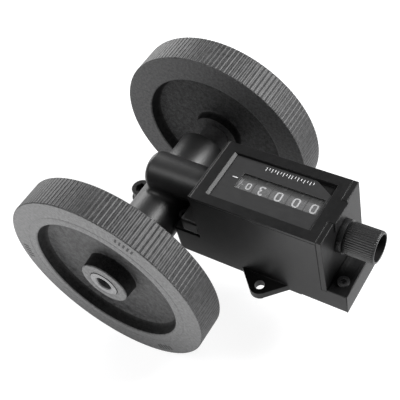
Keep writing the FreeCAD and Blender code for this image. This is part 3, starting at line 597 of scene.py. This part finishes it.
def paint_label_seat_shade(piece):
    """Seat under the label painted black as shade, which shows at the label's cut corner."""
    label_low, label_high = box_mm("label_plate")
    piece.data.materials.append(materials["mark_and_shade_black"])
    for face in piece.data.polygons:
        place = face.center / MM
        inside = abs(place.y) < label_high.y and label_low.x < place.x < label_high.x
        if face.normal.z > seat_least_facing and inside and place.z < label_low.z + seat_margin:
            face.material_index = 1


def dress_nodes():
    """Small rounds on the CAD pieces that show, some with a finish of their own."""
    for node_name, width in soft_edges.items():
        piece = softened(node_name, width)
        if node_name in own_finishes:
            piece.data.materials[0] = materials[own_finishes[node_name]]
        # The label's seat is painted black as shade
        if node_name == "top_cover":
            paint_label_seat_shade(piece)


def arc(x, y, rx, ry, start, end):
    """Points of an elliptical arc between two angles in degrees."""
    steps = max(3, int(abs(end - start) / arc_step_degrees))
    points = []
    for i in range(steps + 1):
        angle = math.radians(start + (end - start) * i / steps)
        points.append((x + rx * math.cos(angle), y + ry * math.sin(angle)))
    return points


def ring(x, y, rx, ry, corner):
    """Closed outline of an upright box with round corners, ending where it starts."""
    corner_y = corner * corner_height_share
    points = []
    for quarter, (sx, sy) in enumerate(((1, 1), (-1, 1), (-1, -1), (1, -1))):
        points += arc(x + sx * (rx - corner), y + sy * (ry - corner_y), corner, corner_y,
                      90 * quarter, 90 * quarter + 90)
    return points + points[:2]


def numeral_strokes(digit):
    """Strokes of one numeral, drawn as plain round lettering."""
    return {
        0: [ring(0, 0, 1, 1, 0.75)],
        1: [[(0, -1), (0, 1), (-0.5, 0.7)]],
        2: [arc(0, 0.42, 0.95, 0.58, 165, -35) + [(-0.95, -1), (1, -1)]],
        3: [arc(-0.05, 0.5, 0.8, 0.5, 150, -90), arc(-0.05, -0.5, 0.95, 0.5, 90, -150)],
        4: [[(1, -0.4), (-1, -0.4), (0.4, 1), (0.4, -1)]],
        5: [[(0.85, 1), (-0.7, 1), (-0.85, 0.15)] + arc(0, -0.35, 0.95, 0.65, 125, -150)],
        6: [ring(0, -0.4, 1, 0.6, 0.7), [(-1, -0.4)] + arc(0.1, 0.2, 1.1, 0.8, 180, 60)],
        7: [[(-0.95, 1), (0.95, 1), (-0.3, -1)]],
        8: [ring(0, 0.5, 0.85, 0.5, 0.6), ring(0, -0.5, 1, 0.5, 0.7)],
        9: [ring(0, 0.4, 1, 0.6, 0.7), [(1, 0.4)] + arc(-0.1, -0.2, 1.1, 0.8, 0, -120)],
    }[digit]


def finer(points):
    """The same line with points no further apart than the stroke step."""
    fine = [Vector(points[0])]
    for a, b in zip(points, points[1:]):
        a, b = Vector(a), Vector(b)
        count = max(1, math.ceil((b - a).length / stroke_step))
        fine += [a.lerp(b, i / count) for i in range(1, count + 1)]
    return fine


def add_stroke(bm, points, width, wrap):
    """Raised ribbon along a flat line. wrap(point, height) gives its place in millimetres."""
    line = finer(points)
    closed = (line[0] - line[-1]).length < same_place
    rows = []
    for i, point in enumerate(line):
        before = line[i - 1] if i else (line[-2] if closed else point)
        after = line[i + 1] if i < len(line) - 1 else (line[1] if closed else point)
        along = (after - before).normalized()
        across = Vector((-along.y, along.x)) * width / 2
        rows.append([bm.verts.new(wrap(point + across * side, height - stroke_sink) * MM)
                     for side, height in ((-1, 0.0), (-1, stroke_height), (1, stroke_height), (1, 0.0))])
    for here, there in zip(rows, rows[1:]):
        for i in range(len(here)):
            j = (i + 1) % len(here)
            bm.faces.new((here[i], here[j], there[j], there[i]))
    for row in (rows[0], rows[-1]):
        bm.faces.new(row)


def mark_piece(name, body, strokes, wrap, width, finish="mark_white"):
    """Marks made of strokes, as one piece."""
    bm = bmesh.new()
    for points in strokes:
        add_stroke(bm, points, width, wrap)
    bmesh.ops.recalc_face_normals(bm, faces=bm.faces)
    new_piece(name, mesh_from(bm, name), body, finish)


def make_wheel_marks(side_name, side):
    """Three groups of short moulded dashes on a wheel's outer rim face."""
    face = wheel_faces(side_name)[1]

    def wrap(point, height):
        angle = point.x / rim_mark_r
        return Vector((axle_x + point.y * math.sin(angle), side * (face + height),
                       axle_z + point.y * math.cos(angle)))

    dashes = []
    for degrees in rim_mark_degrees:
        middle = math.radians(degrees) * rim_mark_r
        for i in range(rim_mark_count):
            x = middle + (i - (rim_mark_count - 1) / 2) * rim_mark_step
            foot = rim_mark_r - rim_mark_half_length - rim_mark_stagger * (i % 2)
            dashes.append([(x, foot), (x, rim_mark_r + rim_mark_half_length)])
    mark_piece(side_name + "_rim_marks", "wheel_axle", dashes, wrap, rim_mark_width, "mark_and_shade_black")


def make_numerals(index):
    """All ten numerals of one drum. The reading faces the far side, so a numeral's top points near."""
    first = index == 0
    name = f"number_drum_{index + 1}"
    body = "count_drive" if first else f"drum_{index + 1}"
    low, high = box_mm(name)
    radius = (high.z - low.z) / 2
    centre_z = (high.z + low.z) / 2
    scale = small_numeral_scale if first else 1.0
    shift = small_numeral_shift if first else 0.0

    def wrap(point, height):
        angle = point.y / radius
        r = radius + height
        return Vector(((low.x + high.x) / 2 - point.x, -r * math.sin(angle), centre_z + r * math.cos(angle)))

    strokes = []
    for digit in range(digits_per_drum):
        turn = -(digit - rest_digits[index]) * 2 * math.pi / digits_per_drum * radius
        for stroke in numeral_strokes(digit):
            strokes.append([(x * numeral_half_width * scale + shift, y * numeral_half_height * scale + turn)
                            for x, y in stroke])
    mark_piece(name + "_numerals", body, strokes, wrap, stroke_width * (small_stroke_share if first else 1.0))
    if first:
        start = (high.x - low.x) / 2 - graduation_start
        lines = []
        for i in range(graduations):
            y = 2 * math.pi * radius * i / graduations
            length = graduation_short if i % graduations_per_long else graduation_long
            lines.append([(start, y), (start - length, y)])
        mark_piece(name + "_graduations", body, lines, wrap, graduation_width)


def make_label_marks():
    """Index dash beside the window and two groups of plain ticks."""
    label_top = box_mm("label_plate")[1].z

    def wrap(point, height):
        return Vector((point.x, point.y, label_top + height))

    mark_piece("index_dash", "counter_body", [index_dash], wrap, index_dash_width)
    ticks = []
    for start, end, count in tick_groups:
        for i in range(count):
            x = start + (end - start) * i / (count - 1)
            ticks.append([(x, tick_feet[i % 2]), (x, tick_top)])
    mark_piece("label_ticks", "counter_body", ticks, wrap, tick_width)


def make_knob():
    """Hollow knob with straight ridges, a lip at its mouth and a plain floor, the inside of its cup painted
    black as shade.
    """
    low, high = box_mm("reset_knob")
    knob_r = (high.z - low.z) / 2
    centre_z = (high.z + low.z) / 2
    rear, front = low.x, high.x
    floor_x = front - knob_cup_depth
    root_r = knob_r - ridge_depth
    steps = knob_ridges * len(ridge_shape)
    corners = [
        (knob_shaft_r, rear, 0), (root_r - knob_back_step, rear, knob_round),
        (root_r, rear + knob_back_chamfer, knob_small_round), (knob_r, rear + ridge_from_end, knob_round),
        (knob_r, front - ridge_from_end, knob_round), (knob_r - knob_lip, front, knob_round),
        (knob_cup_r, front, knob_small_round), (knob_cup_r - knob_cup_draft, floor_x, knob_cup_fillet),
        (knob_shaft_r, floor_x, 0),
    ]

    def place_point(point, step):
        r, x = point
        weight = min(1.0, max(0.0, (r - root_r) / ridge_depth))
        r -= weight * ridge_depth * (1.0 - ridge_shape[step % len(ridge_shape)])
        angle = 2 * math.pi * step / steps
        return Vector((x, r * math.sin(angle), centre_z + r * math.cos(angle))) * MM

    data = turned_mesh("reset_knob_moulding", rounded_profile(corners), steps, place_point)
    new_piece("reset_knob_moulding", data, "reset_shaft", "knob_plastic", "reset_knob")
    # The inside of the cup is painted black as shade
    data.materials.append(materials["mark_and_shade_black"])
    for face in data.polygons:
        place = face.center / MM
        if math.hypot(place.y, place.z - centre_z) < knob_cup_r and place.x > rear + knob_round:
            face.material_index = 1


def paint_nodes():
    """Each CAD node in the finish of its slot."""
    for node_name, node in nodes.items():
        node.data.materials.clear()
        node.data.materials.append(materials[node_slots[node_name]])


node_slots = {entry["node"]: entry["material_slot"] for entry in frame["record"]["subparts"]}
materials = make_materials()
wheel_low, wheel_high = box_mm("far_wheel")
axle_x = (wheel_low.x + wheel_high.x) / 2
axle_z = (wheel_low.z + wheel_high.z) / 2
wheel_r = (wheel_high.x - wheel_low.x) / 2

make_camera()
make_studio()
make_floor()
paint_nodes()
for side_name, side in (("near", -1), ("far", 1)):
    make_wheel(side_name, side)
    make_wheel_marks(side_name, side)
dress_nodes()
for index in range(len(rest_digits)):
    make_numerals(index)
make_label_marks()
make_knob()
